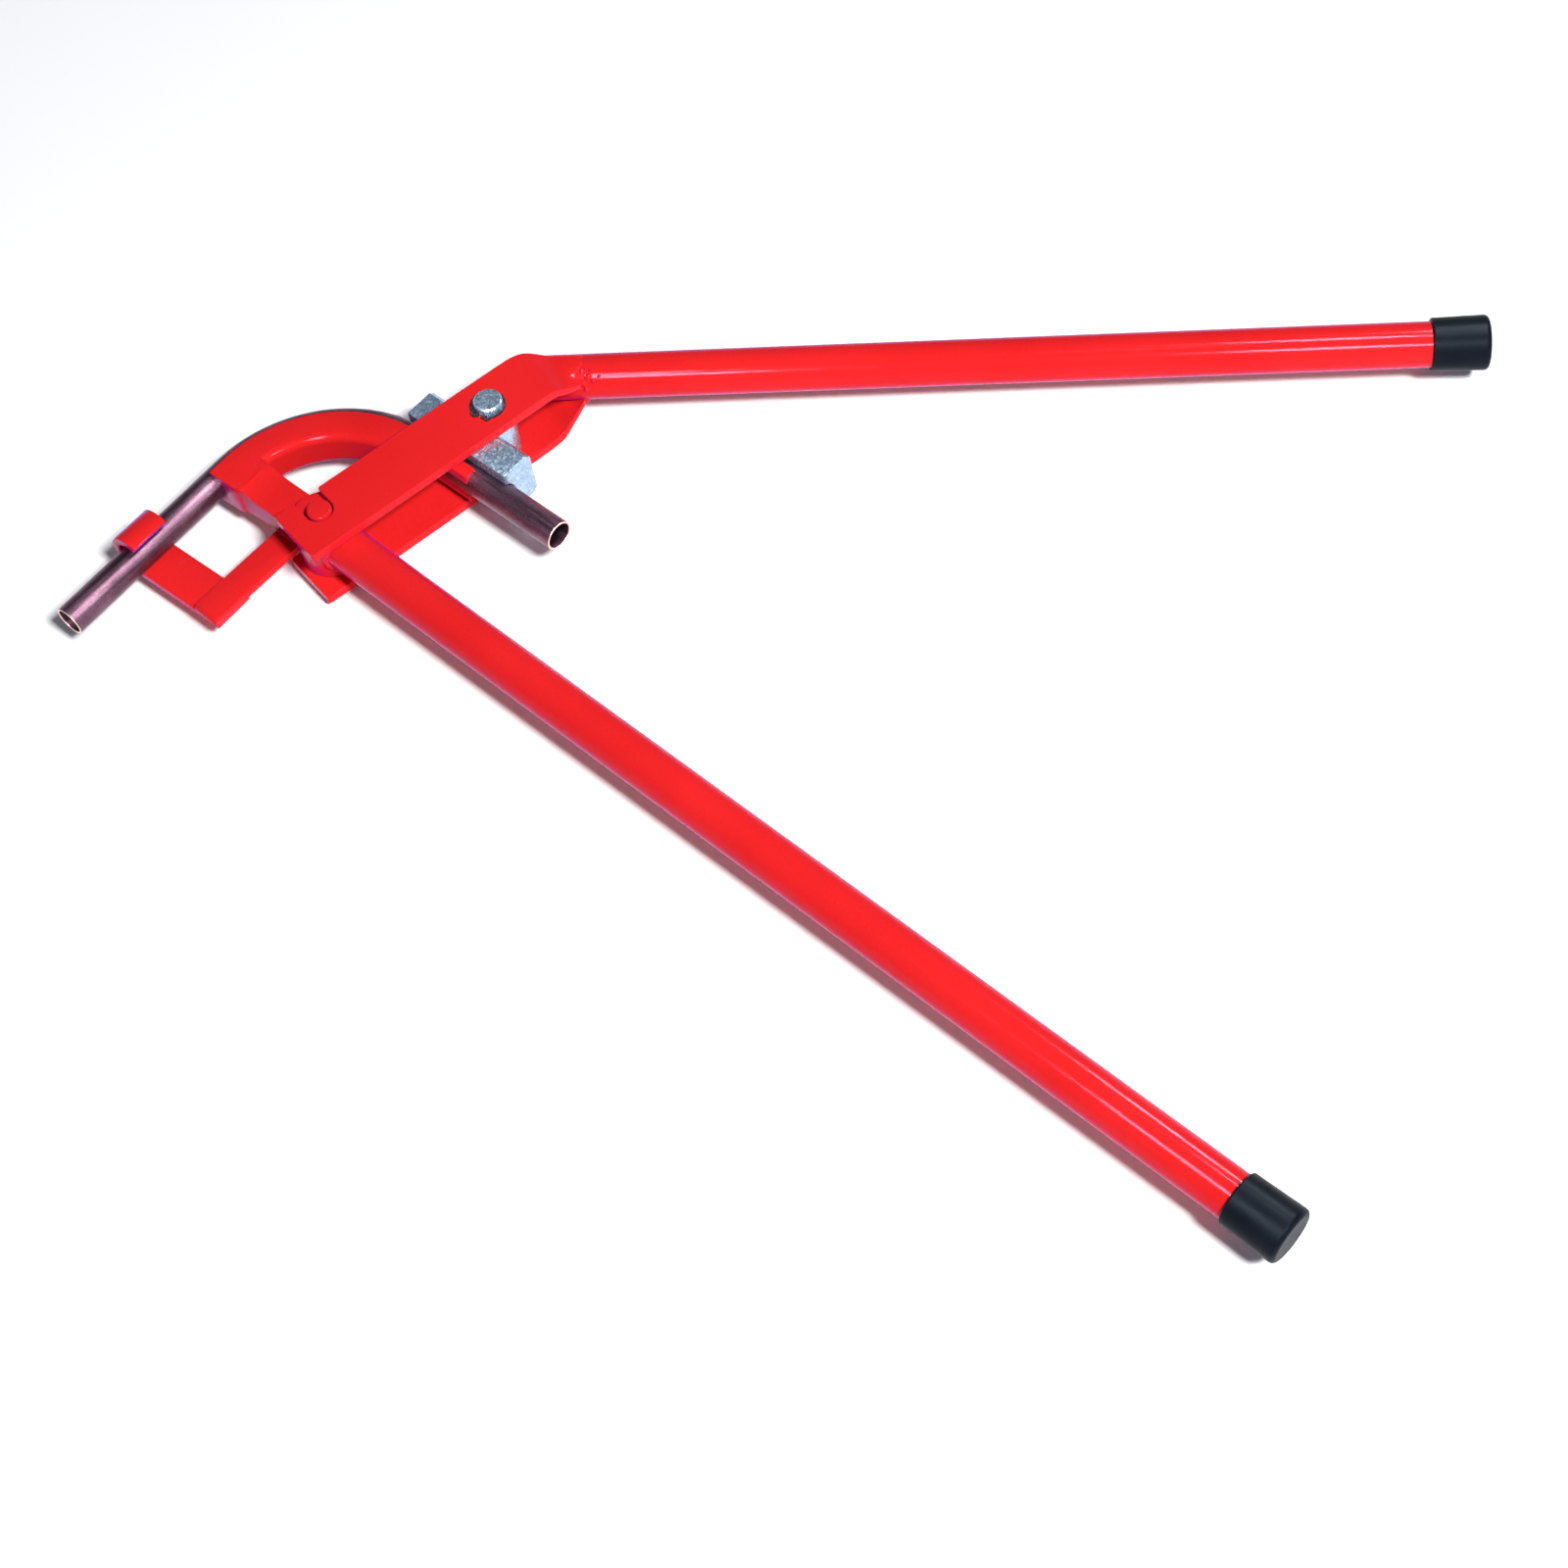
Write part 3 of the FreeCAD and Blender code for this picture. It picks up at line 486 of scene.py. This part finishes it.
def cheek(name, side, node):
    """A flat bar with its nose bent in and laid along the handle tube."""
    points, faces = [], []

    def add(x, y, outer=CHEEK_FACE, inner=CHEEK_FACE - CHEEK_PLATE):
        points.extend([(x, y, side * outer), (x, y, side * inner)])
        return len(points) - 2

    def both(*corners):
        faces.append(corners)
        faces.append([corner + 1 for corner in reversed(corners)])

    def wall(line):
        faces.extend((here, there, there + 1, here + 1) for here, there in zip(line, line[1:]))

    low_end, high_end = Vector(LOW_CURVE[-1]), Vector(HIGH_CURVE[-1])
    grid = []
    for step in range(CHEEK_ALONG + 1):
        low, high = bezier(LOW_CURVE, step / CHEEK_ALONG), bezier(HIGH_CURVE, step / CHEEK_ALONG)
        row = []
        for index in range(CHEEK_ACROSS + 1):
            share = index / CHEEK_ACROSS
            point = low.lerp(high, share)
            reach, past = past_nose(low_end.lerp(high_end, share)), past_nose(point)
            outer = cheek_height(past, reach, share)
            thin = min(1.0, max(0.0, past / reach))
            inner = outer - CHEEK_PLATE + (CHEEK_PLATE - TAIL_PLATE) * thin
            row.append(add(point.x, point.y, outer, inner))
        grid.append(row)
    for here, there in zip(grid, grid[1:]):
        for a, b, c, d in zip(here, here[1:], there[1:], there):
            both(a, b, c, d)

    pin_x, pin_y = SHOE_PIN
    heel, notch = HEEL_CORNER, NOTCH_CORNER
    low_pin, high_pin = add(pin_x, CHEEK_LOW), add(pin_x, CHEEK_HIGH)
    edge = arc(CHEEK_HEEL + heel, CHEEK_LOW + heel, heel, 270, 180, HEEL_CORNER_STEPS)
    edge += arc(CHEEK_HEEL + heel, CHEEK_HIGH - heel, heel, 180, 90, HEEL_CORNER_STEPS)
    edge += arc(-NOTCH - notch, CHEEK_HIGH - notch, notch, 90, 0, NOTCH_CORNER_STEPS)
    edge += arc(0.0, 0.0, NOTCH, 180, 360, NOTCH_STEPS)
    edge += arc(NOTCH + notch, CHEEK_HIGH - notch, notch, 180, 90, NOTCH_CORNER_STEPS)
    edge = [add(x, y) for x, y in edge]
    left = [add(x, y) for x, y in arc(pin_x, pin_y, SHOE_PIN_HOLE, 90, 270, SHOE_PIN_STEPS)]
    right = [add(x, y) for x, y in arc(pin_x, pin_y, SHOE_PIN_HOLE, -90, 90, SHOE_PIN_STEPS)[1:-1]]
    both(low_pin, *edge, high_pin, *left)
    both(low_pin, left[-1], *right, left[0], high_pin, *reversed(grid[0]))
    wall([row[0] for row in reversed(grid)] + [low_pin] + edge + [high_pin] + [row[-1] for row in grid])
    wall(grid[-1])
    wall(left + right + left[:1])
    made = new_object(name, points, faces)
    made.data.transform(Matrix.Rotation(FORK_TURN, 4, "Z"))
    soften(made, CHEEK_SOFT)
    piece(made, RED, "red_paint", "lever", node)


cheek("cheek_painted_upper", 1, "lever_cheek_upper")
cheek("cheek_painted_lower", -1, "lever_cheek_lower")


# ---------------------------------------------------------------- weld beads and spatter, in mm
BEAD_AROUND, BEAD_FEWEST, BEAD_STEP = 14, 12, 0.28
# Ripples and wobble are shares of the bead's radius; each wobble is the mean of a run of draws.
RIPPLE_LENGTH, RIPPLE_HEIGHT = 1.9, 0.07
WOBBLE, WOBBLE_RUN, WOBBLE_SPARE = 0.12, 6, 8
TAPER_START = 0.25
# The bead at a tail's end: its steps, its start in from the edge, its place and its height.
TAIL_STEPS, TAIL_INSET, TAIL_PAST = 24, 0.5, 0.2
TAIL_BEAD_RADIUS, TAIL_BEAD_LOWEST = 10.6, 6.0
# The bead where the fixed handle meets the hub.
HUB_TURN = math.radians(-90.9)
HUB_RADIUS, HUB_RING, HUB_STEPS = 15.2, 11.2, 72
# Spatter: shape of a drop, and each drop's place along and across the handle and its radius.
SPATTER_RINGS, SPATTER_AROUND = 7, 12
SPATTER_STRETCH, SPATTER_ROUGH, SPATTER_SINK = (0.8, 1.25), 0.05, 0.35
SPATTER_SPOTS = (
    (118.0, -8.6, 2.3), (120.4, -7.0, 1.9), (115.6, -6.9, 2.0), (123.0, -8.2, 1.4),
    (117.8, -4.6, 1.6), (125.6, -7.0, 1.0), (121.6, -4.6, 1.1), (119.3, -10.2, 1.5),
)
BAR_LINE = [Vector((-11.2, y, -3.4)) for y in (10.5, 15.0, 19.0, 23.8)]
HOOK_LINE = [Vector((x, 24.3, -7.6)) for x in (-64.5, -59.0, -53.0, -47.5)]


def weld_bead(name, line, radius, seed, body, node):
    """A rope of overlapping ripples along a line of points."""
    draw = random.Random(seed)
    lengths = [0.0]
    for here, there in zip(line, line[1:]):
        lengths.append(lengths[-1] + (there - here).length)
    total = lengths[-1]
    steps = max(BEAD_FEWEST, int(total / BEAD_STEP))
    wobble = [draw.uniform(-WOBBLE, WOBBLE) for _ in range(steps + WOBBLE_SPARE)]
    rings = []
    at = 0
    for step in range(steps + 1):
        place = total * step / steps
        while at < len(line) - 2 and lengths[at + 1] < place:
            at += 1
        centre = line[at].lerp(line[at + 1], (place - lengths[at]) / (lengths[at + 1] - lengths[at]))
        ahead = (line[at + 1] - line[at]).normalized()
        side = ahead.orthogonal().normalized()
        other = ahead.cross(side)
        ripple = 1.0 + RIPPLE_HEIGHT * math.sin(math.tau * place / RIPPLE_LENGTH)
        ripple += sum(wobble[step:step + WOBBLE_RUN]) / WOBBLE_RUN
        taper = min(1.0, TAPER_START + math.sqrt(max(0.0, min(place, total - place)) / radius))
        size = radius * ripple * taper
        rings.append([centre + size * (cosine * side + sine * other)
                      for cosine, sine in circle_turns(BEAD_AROUND)])
    for here, there in zip(rings, rings[1:]):
        best = min(range(BEAD_AROUND), key=lambda k: (there[k] - here[0]).length)
        there[:] = there[best:] + there[:best]
    points = [point for ring in rings for point in ring]
    last = len(points) - 1
    ends = [tuple(range(BEAD_AROUND)), tuple(range(last, last - BEAD_AROUND, -1))]
    made = new_object(name, points, ends + skin(0, len(rings), BEAD_AROUND))
    smooth(made)
    piece(made, RED, "red_paint", body, node)


def on_handle(along, off):
    """A point across the plane of the lever's handle tube."""
    return Matrix.Rotation(FORK_TURN, 2) @ in_handle(along, HANDLE_OFFSET + off)


def tail_line(side):
    """Half way across the end of a cheek's tail, on the handle tube."""
    line = []
    for step in range(TAIL_STEPS // 2 + 1):
        off = TAIL_LOW + TAIL_INSET + (TAIL_HIGH - TAIL_LOW - TAIL_INSET) * step / TAIL_STEPS
        height = math.sqrt(max(TAIL_BEAD_LOWEST ** 2, TAIL_BEAD_RADIUS ** 2 - off ** 2))
        place = on_handle(TAIL_END + TAIL_PAST, off)
        line.append(Vector((place.x, place.y, side * height)))
    return line


def hub_line():
    """Round the fixed handle where it meets the hub."""
    lean = Matrix.Rotation(HUB_TURN, 2)
    line = []
    for step in range(HUB_STEPS + 1):
        turn = math.tau * step / HUB_STEPS
        off = HUB_RING * math.cos(turn)
        place = lean @ Vector((math.sqrt(HUB_RADIUS ** 2 - off * off), off))
        line.append(Vector((place.x, place.y, HUB_RING * math.sin(turn))))
    return line


def spatter(name, seed, body):
    """Small beads of weld spatter standing on the lever's handle tube."""
    draw = random.Random(seed)
    points, faces = [], []
    for along, off, radius in SPATTER_SPOTS:
        x, y = on_handle(along, off)
        z = math.sqrt(HANDLE_RADIUS ** 2 - off ** 2) - SPATTER_SINK * radius
        start = len(points)
        stretch = draw.uniform(*SPATTER_STRETCH)
        for ring in range(1, SPATTER_RINGS):
            rise = math.pi * (ring / SPATTER_RINGS - 0.5)
            for cosine, sine in circle_turns(SPATTER_AROUND):
                size = radius * (1.0 + draw.uniform(-SPATTER_ROUGH, SPATTER_ROUGH))
                points.append((x + size * stretch * math.cos(rise) * cosine,
                               y + size / stretch * math.cos(rise) * sine, z + size * math.sin(rise)))
        low, high = len(points), len(points) + 1
        points += [(x, y, z - radius), (x, y, z + radius)]
        faces += skin(start, SPATTER_RINGS - 1, SPATTER_AROUND)
        last = start + (SPATTER_RINGS - 2) * SPATTER_AROUND
        for i in range(SPATTER_AROUND):
            j = (i + 1) % SPATTER_AROUND
            faces += [(low, start + j, start + i), (high, last + i, last + j)]
    made = new_object(name, points, faces)
    smooth(made)
    piece(made, RED, "red_paint", body)


weld_bead("weld_tail_upper", tail_line(1), radius=1.6, seed=3, body="lever", node="weld_cheek_upper")
weld_bead("weld_tail_lower", tail_line(-1), radius=1.6, seed=4, body="lever", node="weld_cheek_lower")
spatter("spatter_tail", seed=11, body="lever")
weld_bead("weld_handle_ring", hub_line(), radius=1.5, seed=5, body="frame", node="weld_handle_to_hub")
weld_bead("weld_bar", BAR_LINE, radius=1.5, seed=6, body="frame", node="weld_bar_to_former")
weld_bead("weld_hook", HOOK_LINE, radius=1.3, seed=7, body="frame", node="weld_hook_to_bar")


# ---------------------------------------------------------------- copper tube
FREE_STATIONS = (0.0, CUT_ROUND, 20.0, 45.0, 70.0)
HELD_STATIONS = (25.0, 50.0, 80.0, HELD_LEG - CUT_ROUND, HELD_LEG)
BEND_STEPS = 60
KEEP_FLAT = 80


def tube_path():
    """Stations along the tube: its centre and how far the bend has turned."""
    stations = [(Vector((BEND_RADIUS, back - FREE_LEG, 0.0)), 0.0) for back in FREE_STATIONS]
    for step in range(BEND_STEPS + 1):
        turn = math.radians(BEND_TURN) * step / BEND_STEPS
        stations.append((BEND_RADIUS * Vector((math.cos(turn), math.sin(turn), 0.0)), turn))
    last, turn = stations[-1]
    ahead = Vector((-math.sin(turn), math.cos(turn), 0.0))
    stations += [(last + ahead * along, turn) for along in HELD_STATIONS]
    return stations


def copper_tube():
    """The bent tube with its two cut rims slightly rounded."""
    stations = tube_path()
    middle = (TUBE_OUTSIDE + TUBE_INSIDE) / 2.0
    rim = (TUBE_OUTSIDE - TUBE_INSIDE) / 2.0 * RIM_SHARE
    up = Vector((0, 0, 1))

    def ring(station, radius):
        centre, turn = station
        out = Vector((math.cos(turn), math.sin(turn), 0.0))
        return [centre + radius * (cosine * out + sine * up) for cosine, sine in circle_turns(TUBE_AROUND)]

    loops = [ring(station, TUBE_OUTSIDE) for station in stations[1:-1]]
    loops += [ring(stations[-1], middle + rim), ring(stations[-1], middle - rim)]
    loops += [ring(station, TUBE_INSIDE) for station in reversed(stations[1:-1])]
    loops += [ring(stations[0], middle - rim), ring(stations[0], middle + rim)]
    points = [point for loop in loops for point in loop]
    made = new_object("copper_tube_drawn", points, skin(0, len(loops), TUBE_AROUND, closed=True))
    smooth(made)
    made.modifiers.new("weighted", "WEIGHTED_NORMAL").weight = KEEP_FLAT
    apply_modifiers(made)
    piece(made, COPPER, "copper", "frame", "copper_tube")


copper_tube()


# ---------------------------------------------------------------- pieces cut from the CAD shapes, in mm
# Where the spoke's ramps meet its flat faces, and how widely they are eased.
RAMP_HALF, RAMP_FOOT, RAMP_EASE, RAMP_SEGMENTS = 6.3, 38.0, 5.0, 8
NEAR = 0.1
# The bar's top end edge lies past these; the hook's corner edges have these lengths and heights.
BAR_END, BAR_TOP = -66.9, -4.0
LIP_EDGES, LIP_ABOVE = (3.5, 4.5), 5.0
END_ROUND, END_SEGMENTS = 3.2, 6


def ease_ramp(work):
    """Run the former's spoke into its rim with a smooth curve."""
    def at_foot(vert):
        place = vert.co / MM
        return abs(abs(place.z) - RAMP_HALF) < NEAR and abs(place.y - RAMP_FOOT) < NEAR

    edges = [edge for edge in work.edges if all(at_foot(vert) for vert in edge.verts)]
    round_edges(work, edges, RAMP_EASE, RAMP_SEGMENTS)


def round_bar_end(work):
    """Roll the free end of the bar over at the top."""
    def at_end(vert):
        return vert.co.x < BAR_END * MM and vert.co.z > BAR_TOP * MM

    edges = [edge for edge in work.edges if all(at_end(vert) for vert in edge.verts)]
    round_edges(work, edges, END_ROUND, END_SEGMENTS)


def round_lip(work):
    """Round the corners of the hook's free end."""
    shortest, longest = LIP_EDGES
    edges = [edge for edge in work.edges if shortest < edge.calc_length() / MM < longest
             and all(vert.co.z > LIP_ABOVE * MM for vert in edge.verts)]
    round_edges(work, edges, END_ROUND, END_SEGMENTS)


# CAD node, piece, change before its edges are rounded, their width, look, slot and body.
SOFT_NODES = [
    ("bending_former", "former_casting", ease_ramp, 1.3, RED, "red_paint", "frame"),
    ("pivot_pin", "pivot_pin_painted", None, 0.5, RED, "red_paint", "frame"),
    ("hook_arm_bar", "hook_arm_painted", round_bar_end, 0.9, RED, "red_paint", "frame"),
    ("tube_hook", "tube_hook_painted", round_lip, 1.1, RED, "red_paint", "frame"),
    ("pressure_shoe", "pressure_shoe_plated", None, 0.45, ZINC, "zinc_steel", "shoe"),
]
for node, name, change, width, material, slot, body in SOFT_NODES:
    made = node_copy(node, name)
    if change:
        edit(made, change)
    soften(made, width)
    piece(made, material, slot, body, node)

PLAIN_NODES = [
    (RED, ("lower_handle_tube", "upper_handle_tube")),
    (BLACK, ("lower_handle_cap", "upper_handle_cap")),
    (ZINC, ("shoe_pin",)),
    (DARK, ("circlip_upper", "circlip_lower")),
]
for material, names in PLAIN_NODES:
    for name in names:
        NODES[name].data.materials.clear()
        NODES[name].data.materials.append(material)


# ---------------------------------------------------------------- floor and light, in metres
FLOOR_DROP = 0.0004
FLOOR_SIZE = 24.0
SKY_STRENGTH = 0.6
SKY = (
    (0.0, (0.85, 0.8, 1.0)), (0.2, (0.5, 0.47, 0.68)),
    (0.45, (0.16, 0.165, 0.2)), (1.0, (0.1, 0.105, 0.12)),
)
LIGHT_AIM = Vector((0.1, -0.2, 0.0))
KEY_PLACE, KEY_WIDTH, KEY_POWER = (-0.15, -1.8, 2.4), 0.45, 132.0
GLINT_WIDTH = 0.17
GLINTS = (
    ((-0.68, -0.55, 0.92), 12.0), ((-0.13, -0.91, 0.91), 12.0), ((-0.42, -0.29, 0.88), 8.0),
    ((0.54, -0.36, 1.19), 10.0), ((0.80, -0.27, 0.68), 8.5), ((0.22, -0.40, 1.17), 0.5),
)


def make_floor():
    """A wide sheet just under the part."""
    half = FLOOR_SIZE / 2
    height = CAD_BOX[0].z - FLOOR_DROP
    corners = [(x, y, height) for x, y in ((-half, -half), (half, -half), (half, half), (-half, half))]
    mesh = bpy.data.meshes.new("floor")
    mesh.from_pydata(corners, [], [(0, 1, 2, 3)])
    floor = bpy.data.objects.new("floor", mesh)
    floor.data.materials.append(studio_floor())
    bpy.context.scene.collection.objects.link(floor)


def make_world():
    """A pale backdrop low down that falls away to a dim ceiling."""
    world = bpy.data.worlds.new("world")
    world.use_nodes = True
    tree = world.node_tree
    background = tree.nodes["Background"]
    place = tree.nodes.new("ShaderNodeTexCoord")
    axes = tree.nodes.new("ShaderNodeSeparateXYZ")
    sweep = tree.nodes.new("ShaderNodeValToRGB")
    fill_ramp(sweep, SKY)
    tree.links.new(place.outputs["Generated"], axes.inputs["Vector"])
    tree.links.new(axes.outputs["Z"], sweep.inputs["Fac"])
    tree.links.new(sweep.outputs["Color"], background.inputs["Color"])
    background.inputs["Strength"].default_value = SKY_STRENGTH
    bpy.context.scene.world = world


def area_light(name, place, width, power, glint):
    """A square lamp that lights the work, or one that only shows as a glint in it."""
    data = bpy.data.lights.new(name, "AREA")
    data.shape = "RECTANGLE"
    data.size = data.size_y = width
    data.energy = power
    light = bpy.data.objects.new(name, data)
    light.location = place
    light.visible_glossy = glint
    light.visible_diffuse = not glint
    light.rotation_euler = (LIGHT_AIM - Vector(place)).to_track_quat("-Z", "Y").to_euler()
    bpy.context.scene.collection.objects.link(light)


make_floor()
make_world()
area_light("key", KEY_PLACE, KEY_WIDTH, KEY_POWER, glint=False)
for number, (place, power) in enumerate(GLINTS):
    area_light("glint_%d" % number, place, GLINT_WIDTH, power, glint=True)
bpy.context.scene.view_settings.view_transform = "Standard"
